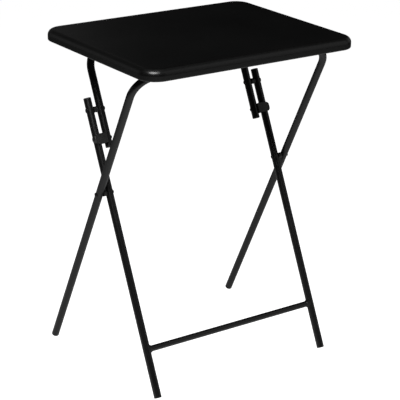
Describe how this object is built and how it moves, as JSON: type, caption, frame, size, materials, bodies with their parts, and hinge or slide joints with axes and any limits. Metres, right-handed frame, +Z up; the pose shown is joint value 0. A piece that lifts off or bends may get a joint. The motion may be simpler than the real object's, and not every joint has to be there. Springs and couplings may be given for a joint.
{
  "type": "folding tray table",
  "caption": "Small folding tray table: a rounded rectangular tray on two crossed pairs of round tube legs that fold flat behind it.",
  "frame": {"origin": "on the floor, under the middle of the tray", "axes": "+X along the tray's long side, +Y from its front edge to its rear edge, +Z up"},
  "size_m": [0.4826, 0.381, 0.66],
  "materials": {
    "frame_paint": "satin black powder coat",
    "rivet_steel": "black, satin",
    "screw_steel": "black oxide",
    "end_plug_plastic": "moulded, matt black",
    "spacer_nylon": "moulded, matt black",
    "latch_plastic": "moulded, satin black",
    "bracket_plastic": "moulded, matt black",
    "tray_foil": "fine-grained black foil, satin",
    "backing_paper": "black backing paper, matt",
    "fibreboard": "raw fibreboard, hidden"
  },
  "bodies": {
    "inner_legs": {"inner_leg_left": "frame_paint", "inner_leg_left_foot": "end_plug_plastic", "inner_leg_left_top_plug": "end_plug_plastic", "stretcher_weld_left": "frame_paint", "crossing_rivet_left": "rivet_steel", "crossing_spacer_left": "spacer_nylon", "bail_rivet_left": "rivet_steel", "bail_spacer_left": "spacer_nylon", "inner_leg_right": "frame_paint", "inner_leg_right_foot": "end_plug_plastic", "inner_leg_right_top_plug": "end_plug_plastic", "stretcher_weld_right": "frame_paint", "crossing_rivet_right": "rivet_steel", "crossing_spacer_right": "spacer_nylon", "bail_rivet_right": "rivet_steel", "bail_spacer_right": "spacer_nylon", "leg_stretcher": "frame_paint"},
    "outer_frame": {"outer_frame_tube": "frame_paint", "outer_frame_left_foot": "end_plug_plastic", "outer_frame_right_foot": "end_plug_plastic"},
    "bail": {"bail_tube": "frame_paint", "bail_left_end_plug": "end_plug_plastic", "bail_right_end_plug": "end_plug_plastic", "latch_hook_left": "latch_plastic", "latch_hook_right": "latch_plastic", "latch_rivet_left": "rivet_steel", "latch_rivet_right": "rivet_steel"},
    "tray": {"tray_core": "fibreboard", "tray_foil": "tray_foil", "tray_backing": "backing_paper", "front_bracket_left": "bracket_plastic", "front_bracket_right": "bracket_plastic", "rear_bracket_left": "bracket_plastic", "rear_bracket_right": "bracket_plastic", "front_bracket_screws": "screw_steel", "rear_bracket_screws": "screw_steel"}
  },
  "joints": [
    {"name": "bail_fold", "type": "hinge", "parent": "inner_legs", "child": "bail", "pos_m": [0, 0.07452, 0.51536], "axis": [1, 0, 0], "range_deg": [-180, 0]},
    {"name": "legs_fold", "type": "hinge", "parent": "inner_legs", "child": "outer_frame", "pos_m": [0, 0.0047, 0.3693], "axis": [1, 0, 0], "range_deg": [-51.45, 0]},
    {"name": "tray_fold", "type": "hinge", "parent": "bail", "child": "tray", "pos_m": [0, 0.12789, 0.627], "axis": [1, 0, 0], "range_deg": [0, 64.45]}
  ],
  "couplings": [
    {"joint": "legs_fold", "follows": "bail_fold", "ratio": 0.28583},
    {"joint": "tray_fold", "follows": "bail_fold", "ratio": -0.35806}
  ]
}
